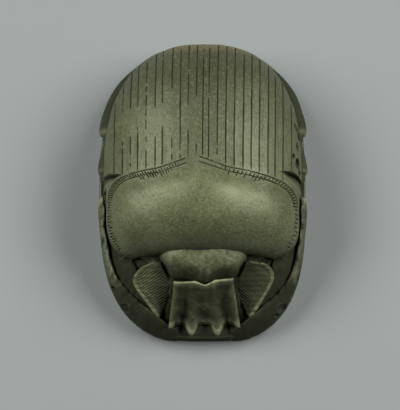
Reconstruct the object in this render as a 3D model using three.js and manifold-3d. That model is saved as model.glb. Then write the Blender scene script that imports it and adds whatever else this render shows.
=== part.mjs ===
// Scarab amulet: a beetle and its oval base carved from one block of green-grey stone.
// Millimetres. X runs across the body, Y from the head at -Y to the tail at +Y, and Z is up from the
// flat underside. The origin is the middle of the underside.

import * as THREE from "three";
import { mergeVertices } from "three/addons/utils/BufferGeometryUtils.js";
import Module from "manifold-3d";

// Driving sizes of the block
const LENGTH = 60;
const WIDTH = 42;
const HEIGHT = 24;
const BASE_THICKNESS = 3.2;
const BASE_BEVEL = 0.4;

// Driving sizes of the carving
const WING_GROOVES_A_SIDE = 11;
const WING_GROOVE_SPACING = 1.58;
const GROOVE_WIDTH = 0.45;
const GROOVE_DEPTH = 0.3;
const COLLAR_MARGIN = 0.95;
const WING_INSET = 1.6;
const COLLAR_INSET = 2.1;
const WALL_INSET = 2.7;
const SHELL_EDGE = 1.3;
const CHEEK_GROOVES = 7;
const CHEEK_RIM = 0.8;
const LEG_WIDTH = 2.2;
const THIGH_WIDTH = 4.4;
const SHIN_WIDTH = 3.4;
const SHIN_NOTCH = 1.1;
const CHIP_SIZE = 1;

// Proportions of the body, as shares of half the width, half the length and the height over the base
const WIDEST_ALONG = 0.02;
const BASE_FRONT_ROUNDNESS = 2.95;
const BASE_TAIL_ROUNDNESS = 2.75;
const BORDER_ALONG = -0.012;
const BORDER_PEAK = 0.066;
const BORDER_PEAK_ACROSS = -0.02;
const BORDER_PEAK_HALF_WIDTH = 0.34;
const COLLAR_FRONT_ALONG = -0.507;
const WING_END_ALONG = 0.965;
const DOME_START_ALONG = 0.13;
const ARCH_POWER = 2.45;
const TAIL_POWER = 2.3;

const HALF_LENGTH = LENGTH / 2;
const HALF_WIDTH = WIDTH / 2;
const BODY_HEIGHT = HEIGHT - BASE_THICKNESS;
const WIDEST_Y = WIDEST_ALONG * HALF_LENGTH;
const WING_REACH = HALF_WIDTH - WING_INSET;
const WING_END_Y = WING_END_ALONG * HALF_LENGTH;
const DOME_START_Y = DOME_START_ALONG * HALF_LENGTH;

const wasm = await Module();
wasm.setup();

// A point from its shares of half the width, half the length and the height over the base.
function at(across, along, up) {
  return new THREE.Vector3(across * HALF_WIDTH, along * HALF_LENGTH, BASE_THICKNESS + up * BODY_HEIGHT);
}

// A closed three.js geometry as a solid, turned to face outwards where it was mirrored.
function solidOf(geometry) {
  const bare = geometry.clone();
  bare.deleteAttribute("normal");
  bare.deleteAttribute("uv");
  const merged = mergeVertices(bare, 1e-4);
  const vertProperties = merged.getAttribute("position").array;
  const triVerts = new Uint32Array(merged.getIndex().array);
  const solid = new wasm.Manifold(new wasm.Mesh({ numProp: 3, vertProperties, triVerts }));
  if (solid.volume() > 0) return solid;
  return new wasm.Manifold(new wasm.Mesh({ numProp: 3, vertProperties, triVerts: triVerts.reverse() }));
}

// A slab of columns x rows cells. place(column, row, isTop) gives each corner of its two faces.
function slab(columns, rows, place) {
  const box = new THREE.BoxGeometry(columns, rows, 1, columns, rows, 1);
  const corners = box.getAttribute("position");
  for (let i = 0; i < corners.count; i += 1) {
    const column = Math.round(corners.getX(i) + columns / 2);
    const row = Math.round(corners.getY(i) + rows / 2);
    const corner = place(column, row, corners.getZ(i) > 0);
    corners.setXYZ(i, corner.x, corner.y, corner.z);
  }
  return solidOf(box);
}

// A bar along a curve with an oval section, its ends rounded off. halfWidth and halfHeight are
// functions of the way along it, from 0 to 1.
function bar(curve, steps, sides, halfWidth, halfHeight) {
  const drum = new THREE.CylinderGeometry(1, 1, 1, sides, steps);
  const points = drum.getAttribute("position");
  for (let i = 0; i < points.count; i += 1) {
    const way = 0.5 - points.getY(i);
    const centre = curve.getPoint(way);
    const ahead = curve.getTangent(way);
    const outward = new THREE.Vector3(ahead.y, -ahead.x, 0).normalize();
    centre.addScaledVector(outward, points.getX(i) * halfWidth(way));
    centre.z += points.getZ(i) * halfHeight(way);
    points.setXYZ(i, centre.x, centre.y, centre.z);
  }
  return solidOf(drum);
}

// How far a rounded end has closed at a share of the way along a bar.
function roundedEnds(way, blunt = 0.12) {
  const nearEnd = Math.min(way, 1 - way) / blunt;
  return 0.35 + 0.65 * Math.sqrt(1 - (1 - Math.min(nearEnd, 1)) ** 2);
}

// The base outline, a given distance in, at an angle round it.
function rimPoint(angle, inset) {
  const front = Math.sin(angle) < 0;
  const roundness = front ? BASE_FRONT_ROUNDNESS : BASE_TAIL_ROUNDNESS;
  const reach = (front ? HALF_LENGTH + WIDEST_Y : HALF_LENGTH - WIDEST_Y) - inset;
  const bend = (value) => Math.sign(value) * Math.abs(value) ** (2 / roundness);
  return new THREE.Vector2(
    (HALF_WIDTH - inset) * bend(Math.cos(angle)),
    WIDEST_Y + reach * bend(Math.sin(angle)),
  );
}

// The line where the wing cases meet the collar: nearly straight, with a low peak by the middle.
function borderY(x) {
  const fromPeak = Math.min(Math.abs(x / HALF_WIDTH - BORDER_PEAK_ACROSS) / BORDER_PEAK_HALF_WIDTH, 1);
  return (BORDER_ALONG + BORDER_PEAK * (1 - fromPeak) ** 1.3) * HALF_LENGTH;
}

function base() {
  const steps = 72;
  const outline = new THREE.Shape();
  for (let i = 0; i < steps; i += 1) {
    const point = rimPoint((i / steps) * 2 * Math.PI, BASE_BEVEL);
    if (i === 0) outline.moveTo(point.x, point.y);
    else outline.lineTo(point.x, point.y);
  }
  outline.closePath();
  const plate = new THREE.ExtrudeGeometry(outline, {
    depth: BASE_THICKNESS - 2 * BASE_BEVEL,
    bevelSize: BASE_BEVEL,
    bevelThickness: BASE_BEVEL,
    bevelSegments: 1,
  });
  plate.translate(0, 0, BASE_BEVEL);
  return solidOf(plate);
}

// The wall under the shells, between the base and their edges. It leans inwards and ends at the head.
function wall() {
  const wallTop = 0.42;
  const frontAlong = -0.49;
  const drum = new THREE.CylinderGeometry(1, 1, 1, 64, 1);
  const points = drum.getAttribute("position");
  for (let i = 0; i < points.count; i += 1) {
    const isTop = points.getY(i) > 0;
    const radius = Math.hypot(points.getX(i), points.getZ(i));
    const lean = isTop ? WALL_INSET + 0.3 * wallTop * BODY_HEIGHT : WALL_INSET;
    const rim = rimPoint(Math.atan2(points.getZ(i), points.getX(i)), lean);
    const y = Math.max(rim.y * radius, frontAlong * HALF_LENGTH);
    points.setXYZ(i, rim.x * radius, y, isTop ? at(0, 0, wallTop).z : BASE_THICKNESS / 2);
  }
  return solidOf(drum);
}

// Height of the wing cases: a long dome over an edge that falls towards the tail.
function wingTop(x, y) {
  const across = Math.min(Math.abs(x) / WING_REACH, 1);
  const along = THREE.MathUtils.clamp((y - DOME_START_Y) / (WING_END_Y - DOME_START_Y), 0, 1);
  const edge = wingEdgeUp(y);
  const left = Math.max(1 - across ** ARCH_POWER - along ** TAIL_POWER, 0);
  return BASE_THICKNESS + BODY_HEIGHT * (edge + (1 - edge) * left ** 0.5);
}

function wingEdgeUp(y) {
  const toTail = THREE.MathUtils.clamp(y / WING_END_Y, 0, 1);
  return THREE.MathUtils.lerp(0.3, 0.12, toTail ** 1.3);
}

// Where the outline of the wing cases runs at a place across them.
function wingEndY(x) {
  const across = Math.min(Math.abs(x) / WING_REACH, 1);
  return DOME_START_Y + (WING_END_Y - DOME_START_Y) * (1 - across ** ARCH_POWER) ** (1 / TAIL_POWER);
}

// Columns of the wing cases: three for each groove, and closer ones where the shell turns down.
function wingColumns() {
  const lastGroove = WING_GROOVES_A_SIDE * WING_GROOVE_SPACING + GROOVE_WIDTH / 2;
  const turn = [0.5, 0.8, 1].map((share) => THREE.MathUtils.lerp(lastGroove, WING_REACH, share));
  const columns = turn.toReversed().map((x) => ({ x: -x, groove: 0 }));
  for (let i = -WING_GROOVES_A_SIDE; i <= WING_GROOVES_A_SIDE; i += 1) {
    const middle = i * WING_GROOVE_SPACING;
    columns.push({ x: middle - GROOVE_WIDTH / 2, groove: 0 });
    columns.push({ x: middle, groove: GROOVE_DEPTH });
    columns.push({ x: middle + GROOVE_WIDTH / 2, groove: 0 });
  }
  turn.forEach((x) => columns.push({ x, groove: 0 }));
  return columns;
}

function wingCases() {
  const rows = 10;
  const columns = wingColumns();
  return slab(columns.length - 1, rows, (column, row, isTop) => {
    const { x, groove } = columns[column];
    const share = 1 - (1 - row / rows) ** 1.7;
    const start = borderY(x) - SHELL_EDGE;
    const y = THREE.MathUtils.lerp(start, wingEndY(x), share);
    const depth = row === rows || row === 0 ? 0 : groove;
    if (isTop) return new THREE.Vector3(x, y, wingTop(x, Math.max(y, borderY(x))) - depth);
    const under = 1 - (2 * SHELL_EDGE) / HALF_WIDTH;
    return new THREE.Vector3(x * under, y * under, at(0, 0, wingEdgeUp(y)).z - SHELL_EDGE);
  });
}

// Half the width of the collar, which rounds in at its front corners.
function collarAcross(y) {
  const forward = Math.min(Math.abs(y) / (0.55 * HALF_LENGTH), 1);
  return (HALF_WIDTH - COLLAR_INSET) * (1 - forward ** 6) ** (1 / 3);
}

function collarTop(acrossShare, forwardShare) {
  const edge = THREE.MathUtils.lerp(0.33, 0.27, forwardShare);
  const ridge = 0.47 + 0.51 * (1 - forwardShare ** 3.2) ** 0.55;
  return BASE_THICKNESS + BODY_HEIGHT * (edge + (ridge - edge) * (1 - acrossShare ** ARCH_POWER) ** 0.5);
}

// Shares across or along a sheet: even ones, with a groove of three lines a margin in from its edge.
function sharesWithGroove(steps, margin, grooveHalf, bothEdges) {
  const groove = [
    { share: margin - grooveHalf, depth: 0 },
    { share: margin, depth: GROOVE_DEPTH },
    { share: margin + grooveHalf, depth: 0 },
  ];
  const line = [{ share: 0, depth: 0 }, ...groove];
  const from = margin + grooveHalf;
  const to = bothEdges ? 1 - from : 1;
  for (let i = 1; i < steps; i += 1) {
    const even = i / steps;
    const share = bothEdges ? even : 1 - (1 - even) ** 1.6;
    line.push({ share: THREE.MathUtils.lerp(from, to, share), depth: 0 });
  }
  if (bothEdges) groove.reverse().forEach(({ share, depth }) => line.push({ share: 1 - share, depth }));
  line.push({ share: 1, depth: 0 });
  return line;
}

function collar() {
  const frontY = COLLAR_FRONT_ALONG * HALF_LENGTH;
  const long = Math.abs(frontY);
  const columns = sharesWithGroove(14, COLLAR_MARGIN / WIDTH, GROOVE_WIDTH / 2 / WIDTH, true);
  const rows = sharesWithGroove(9, COLLAR_MARGIN / long, GROOVE_WIDTH / 2 / long, false);
  return slab(columns.length - 1, rows.length - 1, (column, row, isTop) => {
    const across = 2 * columns[column].share - 1;
    const forward = rows[row].share;
    const x = across * collarAcross(forward * frontY);
    const y = THREE.MathUtils.lerp(borderY(x), frontY, forward);
    const depth = Math.max(columns[column].depth, rows[row].depth);
    const top = collarTop(Math.abs(across), forward);
    if (isTop) return new THREE.Vector3(x, y, top - depth);
    const under = 1 - (2 * SHELL_EDGE) / HALF_WIDTH;
    return new THREE.Vector3(x * under, y * under, at(0, 0, 0.3).z - SHELL_EDGE);
  });
}

// The top of the head, a band between the collar and the face.
function headBand() {
  const columns = 12;
  const rows = 5;
  return slab(columns, rows, (column, row, isTop) => {
    const across = (2 * column) / columns - 1;
    const forward = row / rows;
    const droop = 0.12 * Math.abs(across) ** 4 + 0.16 * forward ** 2;
    const along = THREE.MathUtils.lerp(-0.44, -0.655 + 0.02 * across ** 4, forward);
    const half = THREE.MathUtils.lerp(0.45, 0.33, forward);
    return at(across * half, along, isTop ? 0.575 - droop : 0.1);
  });
}

// The face: a plate that slopes down to four teeth, hollowed between raised sides.
function face() {
  const teeth = [
    { across: -1, reach: 0.035 },
    { across: -0.36, reach: 0.075 },
    { across: 0.36, reach: 0.075 },
    { across: 1, reach: 0.03 },
  ];
  const toothHalf = 0.24;
  const columns = 20;
  const rows = 8;
  return slab(columns, rows, (column, row, isTop) => {
    const across = (2 * column) / columns - 1;
    const forward = row / rows;
    const tooth = teeth.reduce((most, { across: middle, reach }) => {
      return Math.max(most, reach * (1 - Math.abs(across - middle) / toothHalf));
    }, 0);
    const brow = 0.03 * Math.max(1 - Math.abs(across) / 0.35, 0);
    const along = THREE.MathUtils.lerp(-0.68 - brow, -0.915 - tooth, forward);
    const half = THREE.MathUtils.lerp(0.272, 0.335, forward);
    const hollow = 0.05 * Math.sin(Math.PI * Math.min(forward * 1.2, 1)) * (1 - across ** 4);
    const up = THREE.MathUtils.lerp(0.45, 0.06, forward ** 0.9) - hollow;
    return at(across * half, along, isTop ? up : -0.04);
  });
}

// The block of the head below the band and the face.
function headBlock() {
  const columns = 6;
  const rows = 6;
  return slab(columns, rows, (column, row, isTop) => {
    const across = (2 * column) / columns - 1;
    const forward = row / rows;
    const up = THREE.MathUtils.lerp(0.4, 0, forward ** 2);
    return at(across * 0.37, THREE.MathUtils.lerp(-0.44, -0.9, forward), isTop ? up : -0.04);
  });
}

// One cheek: a striated plate beside the face, with a raised rim round its outer edge.
function cheek(side) {
  const inner = new THREE.CatmullRomCurve3([
    at(side * 0.4, -0.57, 0.47),
    at(side * 0.33, -0.66, 0.32),
    at(side * 0.33, -0.75, 0.22),
    at(side * 0.4, -0.86, 0.12),
  ]);
  const outer = new THREE.CatmullRomCurve3([
    at(side * 0.47, -0.56, 0.46),
    at(side * 0.63, -0.62, 0.42),
    at(side * 0.64, -0.7, 0.36),
    at(side * 0.5, -0.81, 0.21),
    at(side * 0.43, -0.89, 0.13),
  ]);
  const rows = 2 * CHEEK_GROOVES;
  const rimStart = 1 - CHEEK_RIM / inner.getPoint(0.5).distanceTo(outer.getPoint(0.5));
  const steps = [0, 0.4, rimStart, rimStart + 0.03, 1];
  return slab(steps.length - 1, rows, (column, row, isTop) => {
    const way = row / rows;
    const from = inner.getPoint(way);
    const point = from.lerp(outer.getPoint(way), steps[column]);
    const onRim = column >= steps.length - 2;
    const inGroove = row % 2 === 1 && !onRim;
    if (!isTop) point.z -= column === 0 ? 3 * SHELL_EDGE : SHELL_EDGE;
    else if (inGroove) point.z -= GROOVE_DEPTH;
    else if (onRim) point.z += GROOVE_DEPTH;
    return point;
  });
}

// A leg lying on the base with its knee at the rim.
function leg(side, stations, width, rise) {
  const path = new THREE.CatmullRomCurve3(stations.map(([across, along, up]) => at(side * across, along, up)));
  const halfWidth = (way) => (width / 2) * roundedEnds(way);
  const halfHeight = (way) => rise * BODY_HEIGHT * roundedEnds(way);
  return bar(path, 8, 8, halfWidth, halfHeight);
}

function hindLeg(side) {
  const thigh = [
    [0.76, 0.25, 0.2],
    [0.86, 0.3, 0.17],
    [0.92, 0.36, 0.12],
  ];
  const shin = [
    [0.935, 0.36, 0.1],
    [0.915, 0.5, 0.1],
    [0.85, 0.66, 0.07],
    [0.72, 0.79, 0.03],
    [0.55, 0.88, 0],
  ];
  return [leg(side, thigh, LEG_WIDTH, 0.09), leg(side, shin, LEG_WIDTH, 0.09)];
}

function middleLeg(side) {
  const thigh = [
    [0.7, -0.05, 0.22],
    [0.87, 0.02, 0.2],
    [0.935, 0.09, 0.15],
  ];
  const shin = [
    [0.945, 0.09, 0.13],
    [0.925, 0.2, 0.13],
    [0.88, 0.32, 0.13],
    [0.8, 0.46, 0.12],
  ];
  return [leg(side, thigh, LEG_WIDTH, 0.09), leg(side, shin, LEG_WIDTH, 0.11)];
}

function frontThigh(side) {
  const stations = [
    [0.78, -0.2, 0.14],
    [0.74, -0.44, 0.13],
    [0.7, -0.58, 0.12],
    [0.58, -0.7, 0.1],
  ];
  return leg(side, stations, THIGH_WIDTH, 0.12);
}

// The broad front shin, which follows the rim round to the front, with notches cut in its outer edge.
function frontShin(side) {
  const stations = [
    [0.93, -0.08, 0.09],
    [0.91, -0.28, 0.07],
    [0.865, -0.5, 0.06],
    [0.775, -0.67, 0.05],
    [0.66, -0.79, 0.04],
    [0.52, -0.885, 0.03],
    [0.36, -0.95, 0.02],
  ];
  const path = new THREE.CatmullRomCurve3(stations.map(([across, along, up]) => at(side * across, along, up)));
  const halfWidth = (way) => THREE.MathUtils.lerp(0.3, 0.5, Math.min(2 * way, 1)) * SHIN_WIDTH * roundedEnds(way);
  const halfHeight = (way) => 0.09 * BODY_HEIGHT * roundedEnds(way);
  const shin = bar(path, 14, 8, halfWidth, halfHeight);
  return [0.6, 0.7, 0.8, 0.9].reduce((left, way) => {
    const foot = path.getPoint(way);
    const ahead = path.getTangent(way);
    const outward = new THREE.Vector3(-side * ahead.y, side * ahead.x, 0).normalize();
    const wedge = new THREE.CylinderGeometry(SHIN_NOTCH / 2, SHIN_NOTCH / 2, BODY_HEIGHT / 2, 4);
    wedge.rotateX(Math.PI / 2);
    wedge.rotateZ(Math.atan2(outward.y, outward.x));
    wedge.translate(...foot.addScaledVector(outward, SHIN_WIDTH / 2).toArray());
    return left.subtract(solidOf(wedge));
  }, shin);
}

// The wedge cut into the shells where collar and wing case meet at the side.
function shoulderNotch(side) {
  const inner = { across: 0.75, front: -0.024, rear: -0.016 };
  const outer = { across: 0.97, front: -0.13, rear: 0.045 };
  return slab(1, 1, (column, row, isTop) => {
    const { across, front, rear } = column === 0 ? inner : outer;
    return at(side * across, row === 0 ? front : rear, isTop ? 0.8 : 0.2);
  });
}

// Old chips along the right edge of the wing cases, from the shoulder towards the tail.
function chips() {
  const places = [
    { along: 0.13, share: 0.8 },
    { along: 0.24, share: 1 },
    { along: 0.345, share: 1.15 },
    { along: 0.44, share: 0.85 },
  ];
  return places.map(({ along, share }, i) => {
    const size = share * CHIP_SIZE;
    const flake = new THREE.IcosahedronGeometry(size);
    flake.rotateX(i);
    flake.scale(0.8, 1.3, 1);
    const edge = at(0, along, wingEdgeUp(along * HALF_LENGTH));
    flake.translate(WING_REACH + size / 4, edge.y, edge.z);
    return solidOf(flake);
  });
}

function scarab() {
  const sides = [-1, 1];
  const added = [base(), wall(), wingCases(), collar(), headBand(), headBlock(), face()];
  sides.forEach((side) => {
    added.push(cheek(side), ...hindLeg(side), ...middleLeg(side), frontThigh(side), frontShin(side));
  });
  const carved = added.reduce((body, piece) => body.add(piece));
  const cuts = [...sides.map(shoulderNotch), ...chips()];
  return cuts.reduce((body, cut) => body.subtract(cut), carved);
}

function geometryOf(solid) {
  const { numProp, numVert, vertProperties, triVerts } = solid.getMesh();
  const positions = new Float32Array(numVert * 3);
  for (let i = 0; i < numVert; i += 1) {
    positions.set(vertProperties.subarray(i * numProp, i * numProp + 3), i * 3);
  }
  const geometry = new THREE.BufferGeometry();
  geometry.setAttribute("position", new THREE.BufferAttribute(positions, 3));
  geometry.setIndex(new THREE.BufferAttribute(triVerts, 1));
  return geometry;
}

const stone = new THREE.MeshStandardMaterial({ color: 0x6a6e52, roughness: 0.5, metalness: 0 });
const body = new THREE.Mesh(geometryOf(scarab()), stone);
body.name = "scarab";

const group = new THREE.Group();
group.add(body);
export default group;
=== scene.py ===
# Scarab amulet, dressed model: a beetle on an oval base, cut from one block of green-grey stone.
# Metres. X runs across the body, Y from the head at -Y to the tail at +Y, and Z up from the underside.

import math

import bmesh
import bpy
import numpy as np
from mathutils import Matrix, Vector


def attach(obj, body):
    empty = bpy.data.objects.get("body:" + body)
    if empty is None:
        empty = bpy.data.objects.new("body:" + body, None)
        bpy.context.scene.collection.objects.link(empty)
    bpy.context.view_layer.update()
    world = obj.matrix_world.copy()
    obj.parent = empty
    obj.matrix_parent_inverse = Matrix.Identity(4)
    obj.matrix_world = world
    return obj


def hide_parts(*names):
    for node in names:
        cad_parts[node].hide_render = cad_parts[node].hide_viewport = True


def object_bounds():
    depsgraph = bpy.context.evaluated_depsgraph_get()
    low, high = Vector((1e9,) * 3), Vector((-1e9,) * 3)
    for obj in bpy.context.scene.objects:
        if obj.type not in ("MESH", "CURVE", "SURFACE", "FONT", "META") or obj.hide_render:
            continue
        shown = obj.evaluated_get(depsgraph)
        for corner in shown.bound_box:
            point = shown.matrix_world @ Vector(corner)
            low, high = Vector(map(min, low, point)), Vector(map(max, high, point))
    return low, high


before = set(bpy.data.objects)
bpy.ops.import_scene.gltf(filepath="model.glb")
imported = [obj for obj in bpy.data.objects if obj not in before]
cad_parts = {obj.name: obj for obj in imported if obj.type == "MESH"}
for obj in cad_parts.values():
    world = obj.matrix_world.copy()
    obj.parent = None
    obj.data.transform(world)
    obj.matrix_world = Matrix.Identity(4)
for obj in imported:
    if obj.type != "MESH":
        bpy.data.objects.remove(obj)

CAD_LOW, CAD_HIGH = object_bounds()
MM = 0.001

# Sizes of the block, from the frame
LENGTH = CAD_HIGH.y - CAD_LOW.y
WIDTH = CAD_HIGH.x - CAD_LOW.x
HEIGHT = CAD_HIGH.z - CAD_LOW.z
HALF_LENGTH = LENGTH / 2
HALF_WIDTH = WIDTH / 2
BASE_THICKNESS = 3.2 * MM
BODY_HEIGHT = HEIGHT - BASE_THICKNESS
SKIN = 0.04 * MM  # how far the uneven skin stays inside the frame's box

# Sizes of the carving
WING_GROOVES_A_SIDE = 11
FIRST_GROOVE = 1.18 * MM
GROOVE_SPACING = 1.6 * MM
GROOVE_WIDTH = 0.23 * MM
GROOVE_DEPTH = 0.2 * MM
GROOVE_UNEVENNESS = 0.14 * MM  # how far a groove may lie off its even place
WING_INSET = 1.6 * MM
COLLAR_INSET = 2.1 * MM
COLLAR_BOW = 0.3 * MM  # how far the collar's front bows forward at its sides
WALL_INSET = 2.7 * MM
KNEE_REACH = 0.4 * MM  # how far the knees stand out past the sides of the base
LADDER_MARGIN = 0.2 * MM
LADDER_WIDTH = 0.9 * MM
LADDER_PITCH = 0.58 * MM
WIDE_LADDER_PITCH = 0.85 * MM
LADDER_DEPTH = 0.2 * MM
LADDER_CUT_WIDTH = 0.27 * MM
CHEEK_GROOVE_PITCH = 0.42 * MM
CHEEK_GROOVE_DEPTH = 0.24 * MM
CHEEK_RIM = 0.7 * MM
CHEEK_RIM_HEIGHT = 0.12 * MM
EDGE_RADIUS = 0.5 * MM
LEG_WIDTH = 2.2 * MM
THIGH_WIDTH = 4.4 * MM
GOUGE_RADII = np.array([0.55, 0.8, 1.1]) * MM
NICK_RADII = np.array([1.5, 1.2, 1.5]) * MM
NICK_HEIGHT = 1.4 * MM  # from the base's top to the middle of a nick
NICK_OUTSET = 0.3 * MM
END_SHIFT = 0.4 * MM  # how far both ends lean to the right

# Proportions: shares of half the width, half the length or the height over the base, powers of curves,
# and how far a leg's top falls for each step outwards
WIDEST_Y = 0.02 * HALF_LENGTH
FRONT_ROUNDNESS = 2.95
TAIL_ROUNDNESS = 2.75
ARCH_POWER = 2.45
COLLAR_ARCH_POWER = 2.15
TAIL_POWER = 2.3
DOME_START_Y = 0.13 * HALF_LENGTH
WING_END_Y = 0.965 * HALF_LENGTH
BORDER_Y = -0.012 * HALF_LENGTH
COLLAR_FRONT_Y = -0.507 * HALF_LENGTH
WING_REACH = HALF_WIDTH - WING_INSET
COLLAR_REACH = HALF_WIDTH - COLLAR_INSET
FRONT_THIGH_HEIGHT = 0.12
FRONT_SHIN_HEIGHT = 0.1
LEG_LEAN = 0.55

rng = np.random.default_rng(7)


def lerp(start, end, share):
    return start + (end - start) * share


def smooth(low, high, value):
    """Rises from 0 at low to 1 at high as 3t^2 - 2t^3."""
    share = np.clip((value - low) / (high - low), 0, 1)
    return share * share * (3 - 2 * share)


def at(across, along, up):
    """Places from their shares of half the width, half the length and the height over the base."""
    across, along, up = np.broadcast_arrays(across, along, up)
    z = BASE_THICKNESS + up * BODY_HEIGHT
    return np.stack([across * HALF_WIDTH, along * HALF_LENGTH, z], axis=-1)


def sheet(columns, rows):
    """Two arrays over a grid: across from -1 to 1 along a row, and forward from 0 to 1 down a column."""
    return np.meshgrid(np.linspace(-1, 1, columns), np.linspace(0, 1, rows))


def unit(vectors):
    return vectors / np.maximum(np.linalg.norm(vectors, axis=-1, keepdims=True), 1e-12)


def waver(points, wavelength, waves=6, seed=1):
    """Uneven value from -1 to 1: the mean of sines of each point's distance along seeded directions."""
    draw = np.random.default_rng(seed)
    directions = unit(draw.normal(size=(waves, 3))) * draw.uniform(0.7, 1.5, (waves, 1))
    phases = draw.uniform(0, 2 * np.pi, waves)
    return np.sin(points @ directions.T * (2 * np.pi / wavelength) + phases).mean(axis=-1) * 1.6


def smooth_path(stations, steps):
    """Cubic pieces through the stations, each with the slope from one neighbour to the other."""
    stations = np.asarray(stations, float)
    last = len(stations) - 1
    way = np.linspace(0, last, steps)
    piece = np.minimum(way.astype(int), last - 1)
    t = (way - piece)[:, None]
    slope = np.gradient(stations, axis=0)
    start, end = stations[piece], stations[piece + 1]
    return (
        (2 * t**3 - 3 * t**2 + 1) * start
        + (t**3 - 2 * t**2 + t) * slope[piece]
        + (3 * t**2 - 2 * t**3) * end
        + (t**3 - t**2) * slope[piece + 1]
    )


def store(mesh, name, values):
    """Keeps a value for each vertex under a name that the material reads."""
    mesh.attributes.new(name, "FLOAT", "POINT").data.foreach_set("value", values.astype(np.float32))


def new_object(name, points, quads, caps=(), dirt_shade_and_highlight=0.0):
    """A mesh object from quads and flat caps, turned inside out if its volume comes out negative. Its
    stored value runs from -1, dirt with painted shade, to 1, a painted highlight."""
    corners = points[quads]
    volume = 0.0
    for second, third in ((1, 2), (2, 3)):
        turned = np.cross(corners[:, second], corners[:, third])
        volume += np.einsum("ij,ij->i", corners[:, 0], turned).sum()
    for cap in caps:
        ring = points[cap]
        volume += np.einsum("j,ij->i", ring[0], np.cross(ring[1:-1], ring[2:])).sum()
    faces = quads.tolist() + [list(cap) for cap in caps]
    if volume < 0:
        faces = [face[::-1] for face in faces]
    mesh = bpy.data.meshes.new(name)
    mesh.from_pydata(points.tolist(), [], faces)
    mesh.update()
    store(mesh, "dirt_shade_and_highlight", np.broadcast_to(dirt_shade_and_highlight, len(points)))
    made = bpy.data.objects.new(name, mesh)
    bpy.context.scene.collection.objects.link(made)
    return made


def grid_quads(index, closed=False):
    """Quads over a grid of vertex numbers. A closed grid joins its last column to its first."""
    if closed:
        index = np.concatenate([index, index[:, :1]], axis=1)
    cells = [index[:-1, :-1], index[:-1, 1:], index[1:, 1:], index[1:, :-1]]
    return np.stack(cells, axis=-1).reshape(-1, 4)


def shell(name, top, hem, dirt_shade_and_highlight=0.0):
    """A solid under a top sheet. hem(edge) gives the loops that carry its edge down to one flat cap."""
    rows, columns, _ = top.shape
    index = np.arange(rows * columns).reshape(rows, columns)
    edge = np.concatenate([index[0, :-1], index[:-1, -1], index[-1, :0:-1], index[:0:-1, 0]])
    points = top.reshape(-1, 3)
    dirt_shade_and_highlight = np.broadcast_to(dirt_shade_and_highlight, (rows, columns)).ravel()
    loops = np.stack(hem(points[edge]))
    below = np.arange(loops.shape[0] * len(edge)).reshape(loops.shape[0], -1) + len(points)
    side = np.concatenate([edge[None], below])
    quads = np.concatenate([grid_quads(index), grid_quads(side, closed=True)[:, ::-1]])
    points = np.concatenate([points, loops.reshape(-1, 3)])
    dirt_shade_and_highlight = np.concatenate([dirt_shade_and_highlight, np.tile(dirt_shade_and_highlight[edge], len(loops))])
    return new_object(name, points, quads, [below[-1][::-1]], dirt_shade_and_highlight)


def rings(name, loops, dirt_shade_and_highlight=0.0):
    """A solid of closed rings, one over another, with a flat cap at each end."""
    index = np.arange(loops.shape[0] * loops.shape[1]).reshape(loops.shape[:2])
    caps = [index[0][::-1], index[-1]]
    dirt_shade_and_highlight = np.broadcast_to(dirt_shade_and_highlight, index.shape).ravel()
    return new_object(name, loops.reshape(-1, 3), grid_quads(index, closed=True), caps, dirt_shade_and_highlight)


def outward_of(path):
    """Level unit vectors square to a path, pointing away from the middle of the body."""
    ahead = np.gradient(path, axis=0)
    outward = unit(np.stack([ahead[:, 1], -ahead[:, 0], np.zeros(len(path))], axis=-1))
    return outward * np.sign((outward * path).sum(axis=1, keepdims=True))


def bar(name, path, half_width, half_height, dirt_shade_and_highlight, lean=LEG_LEAN, rough=0.05, sides=24):
    """A squarish oval carried along a path: centre + outward * w * c + up * (h * s - lean * w * c), where
    c and s are the cosine and sine to the power 0.6, with a rough waver in millimetres on top."""
    angle = np.linspace(0, 2 * np.pi, sides, endpoint=False)
    wide = half_width[:, None] * np.sign(np.cos(angle)) * np.abs(np.cos(angle)) ** 0.6
    high = half_height[:, None] * np.sign(np.sin(angle)) * np.abs(np.sin(angle)) ** 0.6
    loops = path[:, None] + outward_of(path)[:, None] * wide[..., None]
    loops[..., 2] += high - np.broadcast_to(lean, len(path))[:, None] * wide
    loops[..., 2] += rough * MM * waver(loops, 1.6 * MM, seed=41)
    return rings(name, loops, np.broadcast_to(dirt_shade_and_highlight, len(path))[:, None])


def cuts(name, paths, normals, widths, depths):
    """V-shaped cutters along paths: a sharp foot below the surface and two edges just over it."""
    lift = 0.08 * MM
    ahead = unit(np.gradient(paths, axis=1))
    sideways = unit(np.cross(normals, ahead))
    half = (widths / 2 * (depths + lift) / np.maximum(depths, lift))[..., None]
    foot = paths - normals * depths[..., None]
    left = paths + normals * lift - sideways * half
    right = paths + normals * lift + sideways * half
    loops = np.stack([foot, left, right], axis=2)
    count, steps = paths.shape[:2]
    index = np.arange(count * steps * 3).reshape(count, steps, 3)
    quads = np.concatenate([grid_quads(one, closed=True) for one in index])
    caps = [cap for one in index for cap in (one[0][::-1], one[-1])]
    # Dirt and painted shade darken the cuts all over
    return new_object(name, loops.reshape(-1, 3), quads, caps, -1.0)


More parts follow.
